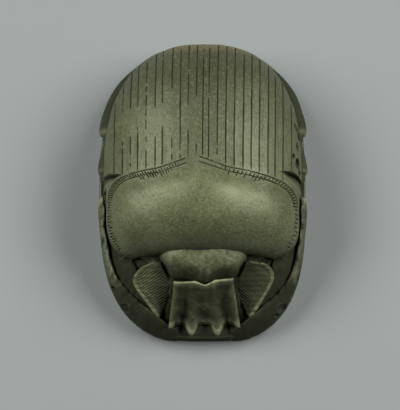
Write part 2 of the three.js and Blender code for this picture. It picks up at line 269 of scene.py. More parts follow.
def rim_loop(inset, count=280):
    """The base outline inside the knees' reach, inset by a distance: a rounded oval, half width *
    cos^power by half length * sin^power, evenly stepped. The power at the front isn't the tail's."""
    angle = np.linspace(0, 2 * np.pi, 6 * count)
    power = np.where(np.sin(angle) < 0, 2 / FRONT_ROUNDNESS, 2 / TAIL_ROUNDNESS)
    reach = np.where(np.sin(angle) < 0, HALF_LENGTH + WIDEST_Y, HALF_LENGTH - WIDEST_Y) - inset
    x = (HALF_WIDTH - KNEE_REACH - inset) * np.sign(np.cos(angle)) * np.abs(np.cos(angle)) ** power
    y = WIDEST_Y + reach * np.sign(np.sin(angle)) * np.abs(np.sin(angle)) ** power
    walked = np.concatenate([[0], np.cumsum(np.hypot(np.diff(x), np.diff(y)))])
    even = np.linspace(0, walked[-1], count, endpoint=False)
    return np.stack([np.interp(even, walked, x), np.interp(even, walked, y)], axis=-1)


def base():
    """Rings up the side of the plate, with its two edges rounded by a quarter circle. The top edge
    carries a painted highlight, and dirt with painted shade darkens the front and the top."""
    bend = np.linspace(0, np.pi / 2, 5)
    rise = EDGE_RADIUS * (1 - np.cos(bend))
    turn = EDGE_RADIUS * (1 - np.sin(bend))
    insets = np.concatenate([turn, rise])
    heights = np.concatenate([rise, BASE_THICKNESS - turn])
    loops = []
    for inset, height in zip(insets, heights):
        outline = rim_loop(SKIN + inset)
        loops.append(np.column_stack([outline, np.full(len(outline), height)]))
    loops = np.stack(loops)
    edge = np.exp(-(((heights - BASE_THICKNESS + 0.1 * MM) / (0.15 * MM)) ** 2))
    front = smooth(-0.6 * HALF_LENGTH, -0.9 * HALF_LENGTH, loops[..., 1])
    dirt_shade_and_highlight = lerp(0.5 * edge[:, None], 1.2 * edge[:, None] - 0.9, front)
    # Dirt and painted shade darken the top all over, under the body
    dirt_shade_and_highlight[-1] = -1
    return rings("base", loops, dirt_shade_and_highlight)


def wall():
    """The wall under the shells: the base outline leaning in as it rises, cut off at the head."""
    levels = np.linspace(-0.08, 0.42, 8)
    front = -0.49 * HALF_LENGTH
    loops = []
    for level in levels:
        outline = rim_loop(WALL_INSET - KNEE_REACH + 0.3 * max(level, 0) * BODY_HEIGHT, 160)
        outline[:, 1] = np.maximum(outline[:, 1], front + 0.02 * outline[:, 1])
        level_z = np.full(len(outline), BASE_THICKNESS + level * BODY_HEIGHT)
        loops.append(np.column_stack([outline, level_z]))
    return rings("wall", np.stack(loops))


def border_y(x):
    """The line between collar and wing cases: a low peak left of the middle, and a drop forward that
    grows as |x|^1.3, more on the right."""
    from_peak = np.minimum(np.abs(x / HALF_WIDTH + 0.08) / 0.34, 1)
    drop = np.where(x < 0, 0.045, 0.1) * np.abs(x / HALF_WIDTH) ** 1.3
    return BORDER_Y + (0.066 * (1 - from_peak) ** 1.3 - drop) * HALF_LENGTH


def wing_edge_up(y):
    """How high the side edge of the wing cases runs: 0.3 at the border, falling to 0.12 at the tail."""
    return lerp(0.3, 0.12, np.clip(y / WING_END_Y, 0, 1) ** 1.3)


def wing_end_y(x):
    """Where the wing cases end at x: along^TAIL_POWER + across^ARCH_POWER = 1."""
    share = np.minimum(np.abs(x) / WING_REACH, 1)
    return DOME_START_Y + (WING_END_Y - DOME_START_Y) * (1 - share**ARCH_POWER) ** (1 / TAIL_POWER)


def wing_top(x, y):
    """Height of the wing cases: edge + (top - edge) * sqrt(1 - across^ARCH_POWER - along^TAIL_POWER)."""
    across = np.minimum(np.abs(x) / WING_REACH, 1)
    along = np.clip((y - DOME_START_Y) / (WING_END_Y - DOME_START_Y), 0, 1)
    edge = wing_edge_up(y)
    left = np.maximum(1 - across**ARCH_POWER - along**TAIL_POWER, 0)
    return BASE_THICKNESS + BODY_HEIGHT * (edge + (1 - edge) * np.sqrt(left))


def wing_columns():
    """Places across the wing cases, with how deep each lies in its groove and the groove's number."""
    number = np.arange(-WING_GROOVES_A_SIDE, WING_GROOVES_A_SIDE + 1)
    middle = np.sign(number) * (FIRST_GROOVE + GROOVE_SPACING * (np.abs(number) - 1))
    middle = middle + np.where(number == 0, 0, rng.uniform(-1, 1, len(number)) * GROOVE_UNEVENNESS)
    section = np.array([-1.4, -1, -0.5, 0, 0.5, 1, 1.4, 0]) * GROOVE_WIDTH / 2
    share = np.array([0, 0.15, 0.7, 1, 0.7, 0.15, 0, 0])
    places = middle[:, None] + section
    places[:-1, -1] = (middle[:-1] + middle[1:]) / 2
    last = middle[-1] + 0.7 * GROOVE_WIDTH
    turn = lerp(last, WING_REACH, np.sin(np.linspace(0, np.pi / 2, 12))[1:])
    x = np.concatenate([-turn[::-1], places.ravel()[:-1], turn])
    plain = np.zeros(len(turn))
    depth = np.concatenate([plain, np.tile(share, len(number))[:-1], plain])
    groove = np.concatenate([plain, np.repeat(number, len(section))[:-1], plain])
    return x, depth, groove


def wing_cases():
    """Rows run from the border to the tail, after one that is tucked under the collar. Grooves sink along
    the surface's normal by GROOVE_DEPTH * share in their section * strength along their way."""
    x, share, groove = wing_columns()
    way = np.concatenate([[0], 1 - (1 - np.linspace(0, 1, 150)) ** 1.6])
    tuck = np.where(np.arange(len(way)) == 0, 1 * MM, 0)[:, None]
    fan = 1 + 0.04 * way[:, None] * (1 - (x / WING_REACH) ** 2) * smooth(0.1, 0.4, way)[:, None]
    across = x * fan
    y = lerp(border_y(across), wing_end_y(across[-1]), way[:, None])
    top = np.stack([across, y - tuck / 2, wing_top(across, y) - 1.5 * tuck], axis=-1)
    normal = unit(np.cross(np.gradient(top, axis=1), np.gradient(top, axis=0)))
    normal *= np.sign(normal[..., 2:3] + 1e-9)
    strength = groove_strength(y, way[:, None], groove)
    ends = smooth(0, 0.02, way)[:, None]
    top -= normal * (GROOVE_DEPTH * share * strength * ends)[..., None]
    steps = [(0.004, 0.35), (0.02, 1.1), (0.05, 1.4), (0.12, 1.4)]
    # Dirt and painted shade darken the grooves as far as they sink
    dirt_and_shade = np.minimum(5 * share * strength * ends, 1)
    return shell("wing cases", top, lambda edge: hem(edge, steps), -dirt_and_shade)


def groove_strength(y, way, groove):
    """How deep a groove is along its way: whole or missing, with short breaks. Most grooves left of the
    middle are missing over a worn patch, and each stops somewhere before the tail."""
    slow = np.sin(5 * way + 2.3 * groove) + 0.6 * np.sin(13 * way + 5.1 * groove)
    quick = 0.2 * np.sin(61 * way + 1.7 * groove) + 0.15 * np.sin(97 * way + 3.9 * groove)
    patch_y, patch_reach = 9 * MM, 2.6 * MM
    patch = np.exp(-(((y - patch_y) / patch_reach) ** 2)) * (groove < 0) * (groove % 4 != 1)
    firm = np.where(groove > 1, 1.15, 0.8) + 0.2 * np.sin(2.1 * groove)
    stop = 0.93 + 0.06 * np.sin(4.7 * groove)
    raw = (firm + 0.4 * slow + quick - 2 * patch) * smooth(stop + 0.03, stop, way)
    return smooth(0.2, 0.45, raw) * (0.6 + 0.4 * np.clip(raw, 0, 1))


def hem(edge, steps):
    """Loops below an edge, each drawn in towards the middle by a share and lowered by millimetres."""
    loops = [edge * (1 - inward, 1 - inward, 1) - (0, 0, drop * MM) for inward, drop in steps]
    floor = loops[-1].copy()
    floor[:, 2] = BASE_THICKNESS * 0.6
    return loops + [floor]


def collar_across(y):
    """Half the width of the collar, rounded in at its front corners."""
    forward = np.minimum(np.abs(y) / (0.55 * HALF_LENGTH), 1)
    return COLLAR_REACH * (1 - forward**6) ** (1 / 3)


def collar_point(across, forward):
    """The collar's surface: a ridge that falls steeply at the front, times a flattened arch across. At
    the border it runs on flush from the wing cases."""
    x = across * collar_across(forward * COLLAR_FRONT_Y)
    y = lerp(border_y(x), COLLAR_FRONT_Y - COLLAR_BOW * across**2, forward)
    edge = lerp(0.33, 0.27, forward)
    ridge = 0.47 + 0.51 * np.clip(1 - forward**3.2, 0, 1) ** 0.55
    aside = np.abs(across)
    arch = np.sqrt(np.clip(1 - aside**COLLAR_ARCH_POWER, 0, 1))
    arch = arch - 0.05 * smooth(0, 0.5, aside) * (1 - aside)
    up = edge + (ridge - edge) * arch
    flush = smooth(0.3, 0, forward)
    z = lerp(BASE_THICKNESS + BODY_HEIGHT * up, wing_top(x, y), flush)
    return np.stack([x, y, z], axis=-1)


def collar():
    """The smooth collar, with columns and rows closer where it turns down, and two painted highlights
    where its sheen falls."""
    across, forward = sheet(120, 100)
    across = np.sin(across * np.pi / 2) * 0.5 + across * 0.5
    forward = 1 - (1 - forward) ** 1.5
    top = collar_point(across, forward)
    # Two painted highlights on the collar, one on each side of the middle
    left = 0.3 * np.exp(-(((across + 0.3) / 0.14) ** 2))
    right = 0.55 * np.exp(-(((across - 0.38) / 0.2) ** 2))
    highlight_patches = (left + right) * np.exp(-(((forward - 0.3) / 0.2) ** 2))
    painted_light = highlight_patches * (1 + 0.6 * waver(top, 2.5 * MM, seed=50))
    steps = [(0.003, 0.3), (0.012, 0.9), (0.04, 1.3), (0.12, 1.3)]
    return shell("collar", top, lambda edge: hem(edge, steps), painted_light)


def around_collar(way, margin):
    """A line round the collar, a margin in from its edge: |across|^10 + |back|^10 = 1, by the angle seen
    from the middle of the front."""
    angle = way * np.pi / 2
    reach = (np.abs(np.sin(angle)) ** 10 + np.abs(np.cos(angle)) ** 10) ** -0.1
    across = (1 - margin / COLLAR_REACH) * reach * np.sin(angle)
    forward = 1 - (1 - margin / abs(COLLAR_FRONT_Y)) * reach * np.cos(angle)
    return across, forward


def surface_frame(across, forward):
    """Points on the collar and the surface's outward normals there."""
    small = 1e-3
    right = collar_point(np.clip(across + small, -1, 1), forward)
    left = collar_point(across - small, forward)
    front = collar_point(across, np.clip(forward + small, 0, 1))
    back = collar_point(across, forward - small)
    return collar_point(across, forward), unit(np.cross(front - back, right - left))


def even_ways(margin, pitch, reach=0.93):
    """Ways along a line round the collar, an even distance apart."""
    way = np.linspace(-reach, reach, 4000)
    points, _ = surface_frame(*around_collar(way, margin))
    walked = np.concatenate([[0], np.cumsum(np.linalg.norm(np.diff(points, axis=0), axis=1))])
    return np.interp(np.arange(0, walked[-1], pitch), walked, way)


def ladder_lines():
    """The two long cuts of the ladder round the collar, worn away at the peak of the border."""
    ways = even_ways(LADDER_MARGIN, 0.25 * MM)
    margins = (LADDER_MARGIN, LADDER_MARGIN + LADDER_WIDTH)
    lines = [surface_frame(*around_collar(ways, margin)) for margin in margins]
    paths = np.stack([points for points, _ in lines])
    normals = np.stack([normal for _, normal in lines])
    x = paths[..., 0] / MM
    fade = smooth(0.93, 0.85, np.abs(ways)) * np.maximum(smooth(-2.6, -3.6, x), smooth(-1.2, -0.2, x))
    uneven = 0.8 + 0.35 * waver(paths, 3 * MM, seed=3)
    depths = LADDER_DEPTH * uneven * fade - 0.05 * MM * (1 - fade)
    return cuts("ladder lines", paths, normals, np.full(depths.shape, LADDER_CUT_WIDTH), depths)


def ladder_rungs():
    """Short cross cuts of the ladder, none at the middle, and some that run on past the second line."""
    left, right = (even_ways(LADDER_MARGIN, pitch) for pitch in (LADDER_PITCH, WIDE_LADDER_PITCH))
    ways = np.concatenate([left[left < 0], right[right > 0]])
    unevenness = 0.0008
    ways = ways + rng.uniform(-1, 1, len(ways)) * unevenness
    start, _ = surface_frame(*around_collar(ways, LADDER_MARGIN))
    aside = np.abs(start[:, 0] + 0.4 * MM)
    on_back = start[:, 1] > BORDER_Y - 3 * MM
    ranged = smooth(4.5 * MM, 6 * MM, aside) * smooth(15 * MM, 11 * MM, aside)
    long = on_back * ranged * rng.uniform(0.2, 1.8, len(ways))
    near = LADDER_MARGIN + rng.uniform(-0.1, 0.15, len(ways)) * LADDER_WIDTH
    far = LADDER_MARGIN + (rng.uniform(0.8, 1.2, len(ways)) + long) * LADDER_WIDTH
    margins = lerp(near[:, None], far[:, None], np.linspace(0, 1, 5))
    paths, normals = surface_frame(*around_collar(np.repeat(ways[:, None], 5, axis=1), margins))
    firm = 0.9 + 0.35 * np.sin(ways * 21) * np.sin(ways * 9 + 1)
    firm *= np.where(on_back, smooth(3 * MM, 6 * MM, aside), 1)
    ends = np.array([-0.3, 1, 1.2, 1, -0.3])
    depths = LADDER_DEPTH * firm[:, None] * ends - 0.01 * MM
    widths = np.full(depths.shape, LADDER_CUT_WIDTH)
    return cuts("ladder rungs", paths, normals, widths, 1.7 * depths)


def head_band():
    """The band between collar and face: a pillow that droops by powers of the way across and forward, so
    that its ends are rounded and it rolls down to the face."""
    across, forward = sheet(90, 50)
    aside = np.abs(across)
    droop = 0.1 * aside**4 + 0.1 * aside**14 + 0.13 * forward**2 + 0.1 * forward**10
    middle = 0.03 * np.clip(1 - np.abs(across - 0.05) / 0.5, 0, 1)
    along = lerp(-0.44, -0.66 - middle + 0.02 * across**4, forward)
    half = lerp(0.45, 0.33, forward)
    top = at(across * half, along, 0.575 - droop)
    top[..., 2] += 0.25 * MM * waver(top, 5 * MM, seed=5) + 0.06 * MM * waver(top, 1.2 * MM, seed=15)
    # Painted highlights on the top and ends, painted shade down to the face and in a notch
    ends = np.exp(-(((aside - 0.85) / 0.12) ** 2)) * smooth(0.75, 0.5, forward)
    painted_light = 0.4 * smooth(0.55, 0.35, forward) + 0.35 * ends - 0.75 * smooth(0.5, 0.8, forward)
    notch_shade = np.exp(-(((across - 0.5) / 0.16) ** 2)) * smooth(0.72, 0.82, forward)
    dirt_shade_and_highlight = painted_light - notch_shade + 0.2 * waver(top, 1.5 * MM, seed=25)
    return shell("head band", top, lambda edge: hem(edge, [(0.01, 0.3), (0.015, 1), (0.02, 3)]), dirt_shade_and_highlight)


def head_block():
    """The head's block under the band, the face and the gap before the collar: a slope that falls as
    forward^1.6, with raised sides."""
    across, forward = sheet(40, 30)
    half = lerp(0.66, 0.37, smooth(0, 0.45, forward))
    sides = 0.035 * smooth(0.6, 0.85, np.abs(across)) * smooth(0.3, 0.5, forward)
    top = at(across * half, lerp(-0.44, -0.9, forward), lerp(0.38, 0, forward**1.6) + sides)
    top[..., 2] += 0.2 * MM * waver(top, 1.5 * MM, seed=35)
    # Dirt and painted shade darken the block, most where it lies under the band
    dirt_shade_and_highlight = lerp(-1, -0.5, smooth(0.3, 0.6, forward))
    return shell("head block", top, lambda edge: hem(edge, [(0.005, 0.3)]), dirt_shade_and_highlight)


def neck():
    """Rough stone left standing behind the cheeks, between the collar and the front legs: a low arch that
    falls as |across|^5."""
    across, forward = sheet(60, 16)
    up = lerp(0.35, 0.27, forward) - 0.16 * np.abs(across) ** 5
    top = at(across * 0.7, lerp(-0.47, -0.6, forward), up)
    top[..., 2] += 0.35 * MM * waver(top, 1.8 * MM, seed=36)
    # Dirt and painted shade darken the neck
    dirt_shade_and_highlight = -0.6 + 0.3 * waver(top, 2 * MM, seed=37)
    return shell("neck", top, lambda edge: hem(edge, [(0.005, 0.3)]), dirt_shade_and_highlight)


def face():
    """The face plate: a slope to four teeth, hollowed between a brow, two side ridges and short ridges
    that run up from the teeth. Its height is the slope - hollow - flutes + ridges + brow + tooth tips."""
    across, forward = sheet(129, 90)
    aside = np.abs(across)
    ridges = np.array([-1, -0.36, 0.36, 1])
    reaches = np.array([0.035, 0.075, 0.075, 0.03])
    apart = np.abs(across[..., None] - ridges)
    tooth = np.max(reaches * (1 - smooth(0, 0.26, apart)), axis=-1)
    brow = 0.03 * np.clip(1 - np.abs(across - 0.05) / 0.35, 0, 1)
    along = lerp(-0.68 - brow + 0.012 * across, -0.915 - tooth, forward)
    half = lerp(0.272, 0.335, forward)
    hollow = 0.085 * np.sin(np.pi * np.minimum(forward * 1.1, 1)) ** 0.7 * (1 - aside**5)
    between = smooth(0.05, 0.36, apart.min(axis=-1))
    flutes = 0.05 * between * smooth(0.5, 0.95, forward)
    side_ridges = 0.035 * np.exp(-(((1 - aside) / 0.09) ** 2))
    brow_ridge = 0.05 * np.exp(-(((forward - 0.05) / 0.05) ** 2))
    tips = 0.035 * (1 - between) * smooth(0.72, 0.95, forward) * (1 - 0.6 * smooth(0.95, 1, forward))
    fall = np.clip((forward - 0.07) / 0.93, 0, 1)
    up = lerp(0.41, 0.06, fall**0.9) - hollow - flutes + side_ridges + brow_ridge + tips
    top = at(across * half, along, up)
    top[..., 2] += 0.22 * MM * waver(top, 3 * MM, seed=6) + 0.05 * MM * waver(top, 1 * MM, seed=16)
    # Painted highlights on tips, side ridges and brow; dirt and painted shade under the brow
    tip_highlight = (1 - between) ** 2 * smooth(0.8, 0.97, forward)
    side_highlight = 0.4 * np.exp(-(((1 - aside) / 0.06) ** 2)) * (0.7 + 0.6 * waver(top, 3 * MM, seed=28))
    brow_highlight = 1.3 * smooth(0.12, 0.07, forward) * (0.7 + 0.4 * waver(top, 2 * MM, seed=26))
    dirt_and_shade = 0.5 * smooth(0.09, 0.14, forward) * smooth(1, 0.8, aside) * (1 - tip_highlight)
    painted_light = np.maximum.reduce([tip_highlight, side_highlight, brow_highlight])
    dirt_shade_and_highlight = painted_light - dirt_and_shade + 0.2 * waver(top, 1.5 * MM, seed=27)
    return shell("face", top, lambda edge: hem(edge, [(0.003, 0.2), (0.008, 0.7)]), dirt_shade_and_highlight)


def side_path(side, stations, steps):
    """A smooth path through stations that are given for the right side."""
    return smooth_path([at(side * x, y, z) for x, y, z in stations], steps)


def cheek(side):
    """A striated plate between two curves, with grooves that rise towards the face and a rim on the
    outer curve. A groove follows y + |x| * slope = constant."""
    corner = -0.69 if side < 0 else -0.66
    inner_stations = ((0.4, -0.57, 0.47), (0.33, -0.66, 0.32), (0.33, -0.75, 0.22), (0.4, -0.86, 0.12))
    outer_stations = (
        (0.47, -0.565, 0.46),
        (0.6, corner + 0.08, 0.42),
        (0.65, corner, 0.36),
        (0.52, -0.81, 0.21),
        (0.43, -0.885, 0.13),
    )
    rows = 141
    inner = side_path(side, inner_stations, rows)
    outer = side_path(side, outer_stations, rows)
    out, way = np.meshgrid(np.linspace(0, 1, 40), np.linspace(0, 1, rows))
    top = lerp(inner[:, None], outer[:, None], out[..., None])
    width = np.linalg.norm(outer - inner, axis=1)[:, None]
    from_rim = (1 - out) * width
    on_plate = smooth(CHEEK_RIM, CHEEK_RIM * 1.3, from_rim)
    on_plate = on_plate * smooth(0.06, 0.16, way) * smooth(0.9, 0.8, way)
    slope = math.tan(math.radians(30 if side < 0 else 36))
    turns = (top[..., 1] + np.abs(top[..., 0]) * slope) * math.cos(math.atan(slope)) / CHEEK_GROOVE_PITCH
    stroke = np.abs(np.cos(np.pi * (turns + 0.14 * waver(top, 2 * MM, seed=8)))) ** 0.7
    top[..., 2] -= CHEEK_GROOVE_DEPTH * (1 - stroke) * on_plate
    raised = smooth(CHEEK_RIM * 1.1, CHEEK_RIM * 0.9, from_rim)
    top[..., 2] += CHEEK_RIM_HEIGHT * raised + 0.1 * MM * waver(top, 1.5 * MM, seed=9)
    # A painted highlight along the rim
    rim = smooth(CHEEK_RIM * 1.2, CHEEK_RIM * 0.8, from_rim)
    # Dirt and painted shade on the plate, more towards the face and on the right cheek
    if side < 0:
        dirt_and_shade = lerp(0.3, 0.9, smooth(0.7, 0.1, out))
    else:
        dirt_and_shade = lerp(0.7, 0.95, smooth(0.9, 0.2, out))
    # Painted shade deeper in the grooves, and less on their crests
    dirt_and_shade = dirt_and_shade + 0.5 * (1 - stroke) * on_plate - 0.3 * (stroke > 0.9) * on_plate
    dirt_shade_and_highlight = (0.2 + 0.2 * waver(top, 1.5 * MM, seed=29)) * rim - (1 - rim) * dirt_and_shade
    steps = [(0.004, 0.25), (0.01, 1.2), (0.06, 2.2)]
    return shell(f"cheek {side}", top, lambda edge: hem(edge, steps), dirt_shade_and_highlight)


def rounded_ends(way, blunt=0.12):
    """Share of a bar's full size along its way: 0.35 at each end, and a quarter circle up to 1."""
    near_end = np.minimum(np.minimum(way, 1 - way) / blunt, 1)
    return 0.35 + 0.65 * np.sqrt(1 - (1 - near_end) ** 2)


def middle_and_hind_legs(side):
    """Thighs and shins as bars through their stations, each with the share of the body's height that it
    rises and falls from them. Each shin starts at a knee with a painted highlight, and dirt with
    painted shade darkens the rest."""
    parts = {
        "hind thigh": ([(0.76, 0.25, 0.2), (0.86, 0.3, 0.17), (0.92, 0.36, 0.12)], 0.09),
        "hind shin": (
            [
                (0.945, 0.35, 0.1),
                (0.915, 0.48, 0.09),
                (0.82, 0.66, 0.05),
                (0.68, 0.79, 0.01),
                (0.5, 0.87, -0.02),
            ],
            0.08,
        ),
        "middle thigh": ([(0.7, -0.05, 0.22), (0.87, 0.02, 0.2), (0.935, 0.08, 0.15)], 0.09),
        "middle shin": (
            [(0.945, 0.08, 0.13), (0.925, 0.18, 0.13), (0.88, 0.3, 0.13), (0.8, 0.44, 0.12)],
            0.11,
        ),
    }
    way = np.linspace(0, 1, 36)
    ends = rounded_ends(way)
    made = []
    for name, (stations, rise) in parts.items():
        knee = smooth(0.12, 0.04, way) if "shin" in name else 0
        path = side_path(side, stations, len(way))
        half_width, half_height = LEG_WIDTH / 2 * ends, rise * BODY_HEIGHT * ends
        made.append(bar(f"{name} {side}", path, half_width, half_height, 1.1 * knee - 0.65, sides=16))
    return made


def front_leg(side):
    """The broad front thigh, and the shin that follows the rim as a band and slopes more towards the
    front. Each of the shin's stations ends with half its width there in millimetres."""
    thigh_stations = (
        (0.78, -0.2, 0.12),
        (0.76, -0.44, 0.1),
        (0.71, -0.59, 0.08),
        (0.6, -0.71, 0.06),
        (0.47, -0.82, 0.03),
    )
    steps = 60
    path = side_path(side, thigh_stations, steps)
    ends = rounded_ends(np.linspace(0, 1, steps))
    half_width, half_height = THIGH_WIDTH / 2 * ends, FRONT_THIGH_HEIGHT * BODY_HEIGHT * ends
    # Dirt and painted shade darken the thigh all over
    thigh = bar(f"front thigh {side}", path, half_width, half_height, -1.0, lean=0.7, rough=0.3)
    shin_stations = (
        (0.945, -0.075, 0.12, 0.55),
        (0.945, -0.17, 0.1, 0.75),
        (0.935, -0.3, 0.07, 0.65),
        (0.875, -0.55, 0.06, 0.85),
        (0.8, -0.67, 0.045, 1.15),
        (0.68, -0.79, 0.03, 1.6),
        (0.53, -0.885, 0.02, 1.6),
        (0.36, -0.95, -0.03, 1.2),
        (0.22, -0.975, -0.09, 0.6),
    )
    steps = 130
    path = smooth_path([(side * x, y, z, half) for x, y, z, half in shin_stations], steps)
    half, path = path[:, 3] * MM, at(path[:, 0], path[:, 1], path[:, 2])
    way = np.linspace(0, 1, steps)
    ends = rounded_ends(way, 0.05)
    lean = lerp(LEG_LEAN, 1.35, smooth(0.45, 0.75, way))
    # A painted highlight on the knee; dirt and painted shade on the front half, more on the right
    dirt_shade_and_highlight = 1.1 * smooth(0.12, 0.03, way) - smooth(0.4, 0.6, way) - (0.3 if side > 0 else 0)
    dirt_shade_and_highlight += 0.25 * waver(path, 3 * MM, seed=30 + side)
    half_height = FRONT_SHIN_HEIGHT * BODY_HEIGHT * ends
    shin = bar(f"front shin {side}", path, half * ends, half_height, dirt_shade_and_highlight, lean, rough=0.28)
    return [thigh, shin]


def shoulder_notch(side):
    """The wedge cut where collar and wing case meet at the side. Its floor lies under the surface by a
    depth that grows outwards and towards the wing case."""
    across, share = sheet(24, 12)
    out = (across + 1) / 2
    inner, point, mouth, foot = (0.74, -0.035, 0.045, -0.12) if side < 0 else (0.71, -0.02, -0.05, -0.19)
    bulge = 0.035 * np.sin(np.pi * out) * (side > 0)
    along = lerp(lerp(point - 0.012, foot, out), lerp(point, mouth, out) + bulge, share)
    floor = at(side * lerp(inner, 1.02, out), along, 0)
    depth = (0.2 + 2.6 * share**1.5) * smooth(0, 0.3, out) * MM
    floor[..., 2] = wing_top(floor[..., 0], np.maximum(floor[..., 1], 0)) - depth
    # Painted shade darkens the cut towards the wing case's overhanging wall
    dirt_shade_and_highlight = -0.95 * smooth(0.2, 0.9, share)
    return shell(f"notch {side}", floor, lambda edge: [edge * (1, 1, 0) + (0, 0, 1.2 * HEIGHT)], dirt_shade_and_highlight)


def flake(name, centre, radii, seed):
    """What a chip took away: a ball whose radius wavers by about a third."""
    turns = np.linspace(0, 2 * np.pi, 20, endpoint=False)
    around, up = np.meshgrid(turns, np.linspace(0.05, 0.95, 11) * np.pi)
    ball = np.stack([np.sin(up) * np.cos(around), np.sin(up) * np.sin(around), np.cos(up)], axis=-1)
    ball = ball * (1 + 0.35 * waver(ball, 1.6, seed=seed))[..., None]
    # Dirt and painted shade darken the broken surface
    return rings(name, centre + ball * radii, -0.6)


def chips():
    """Old chips along the right edge of the wing cases, and nicks in the outer edge of the front legs.
    A gouge has its place across and along and its size, a nick its side, its place along and its size."""
    flakes = []
    gouges = (
        (0.9, 0.03, 1),
        (0.885, 0.08, 1.4),
        (0.84, 0.12, 0.8),
        (0.885, 0.2, 1.1),
        (0.9, 0.29, 1.4),
        (0.87, 0.333, 1.2),
        (0.895, 0.42, 0.9),
    )
    for i, (across, along, size) in enumerate(gouges):
        x, y = across * HALF_WIDTH, along * HALF_LENGTH
        centre = np.array([x + 0.1 * MM, y, wing_top(x, y) + 0.4 * MM])
        flakes.append(flake(f"chip {i}", centre, GOUGE_RADII * size, 20 + i))
    nicks = (
        (-1, -0.69, 0.9),
        (-1, -0.815, 1),
        (-1, -0.9, 0.6),
        (1, -0.55, 0.6),
        (1, -0.617, 0.9),
        (1, -0.73, 0.6),
        (1, -0.82, 1),
        (1, -0.865, 0.8),
    )
    outline = rim_loop(-NICK_OUTSET, 600)
    for i, (side, along, size) in enumerate(nicks):
        other_side = 4 * (np.sign(outline[:, 0]) != side)
        near = np.argmin(np.hypot(outline[:, 1] - along * HALF_LENGTH, other_side))
        centre = np.array([*outline[near], BASE_THICKNESS + NICK_HEIGHT])
        flakes.append(flake(f"nick {i}", centre, NICK_RADII * size, 40 + i))
    return flakes


def join(body, others, operation):
    """Adds or cuts the others with Blender's Boolean modifier, and keeps the resulting mesh alone."""
    for other in others:
        step = body.modifiers.new(other.name, "BOOLEAN")
        step.operation = operation
        step.solver = "MANIFOLD"
        step.object = other
    result = bpy.data.meshes.new_from_object(body.evaluated_get(bpy.context.evaluated_depsgraph_get()))
    body.modifiers.clear()
    body.data = result
    for other in others:
        bpy.data.objects.remove(other)
    return body


def mesh_arrays(mesh):
    """A mesh's points, and the two vertex numbers of each edge."""
    points = np.empty(len(mesh.vertices) * 3)
    mesh.vertices.foreach_get("co", points)
    edges = np.empty(len(mesh.edges) * 2, int)
    mesh.edges.foreach_get("vertices", edges)
    return points.reshape(-1, 3), edges.reshape(-1, 2)


def neighbour_mean(values, edges, count):
    """Mean of each vertex's neighbours, by adding both ways along every edge."""
    total = np.zeros((count, 3))
    weight = np.bincount(edges.ravel(), minlength=count).astype(float)
    for column in range(3):
        total[:, column] = np.bincount(edges[:, 0], values[edges[:, 1], column], count)
        total[:, column] += np.bincount(edges[:, 1], values[edges[:, 0], column], count)
    return total / np.maximum(weight, 1)[:, None]


def keep_largest_part(body):
    """Drops the specks and closed pockets that joining leaves. Each vertex takes the lowest number among
    its neighbours until nothing changes, so a linked part ends up with one number."""
    _, edges = mesh_arrays(body.data)
    label = np.arange(len(body.data.vertices))
    settled = False
    while not settled:
        lowest = label.copy()
        np.minimum.at(lowest, edges[:, 0], label[edges[:, 1]])
        np.minimum.at(lowest, edges[:, 1], label[edges[:, 0]])
        lowest = lowest[lowest]
        settled = (lowest == label).all()
        label = lowest
    loose = np.flatnonzero(label != np.bincount(label).argmax())
    cleaned = bmesh.new()
    cleaned.from_mesh(body.data)
    cleaned.verts.ensure_lookup_table()
    bmesh.ops.delete(cleaned, geom=[cleaned.verts[i] for i in loose], context="VERTS")
    cleaned.to_mesh(body.data)
    cleaned.free()
    return body


def carve():
    """Joins every form into one body and cuts the notches, chips and fine lines."""
    forms = [wall(), wing_cases(), collar(), head_band(), head_block(), neck(), face()]
    for side in (-1, 1):
        forms += [cheek(side), *middle_and_hind_legs(side), *front_leg(side)]
    body = join(base(), forms, "UNION")
    body = join(body, [shoulder_notch(-1), shoulder_notch(1), *chips()], "DIFFERENCE")
    return keep_largest_part(join(body, [ladder_lines(), ladder_rungs()], "DIFFERENCE"))


def shelter(points):
    """How far each point lies under its surroundings: a blurred height map less the point's own height.
    Beyond the body the map stands at the height of a bed, so that the rim counts as sheltered."""
    cell = 0.5 * MM
    edge = 12 * MM
    bed = 8 * MM
    spot = ((points[:, :2] - np.array(CAD_LOW)[:2] + edge) / cell).astype(int)
    shape = ((np.array([WIDTH, LENGTH]) + 2 * edge) / cell).astype(int) + 1
    height = np.full(shape, bed)
    np.maximum.at(height, (spot[:, 0], spot[:, 1]), points[:, 2])
    blurs = 40
    for _ in range(blurs):
        for axis in (0, 1):
            height = (np.roll(height, 1, axis) + height + np.roll(height, -1, axis)) / 3
    return height[spot[:, 0], spot[:, 1]] - points[:, 2]


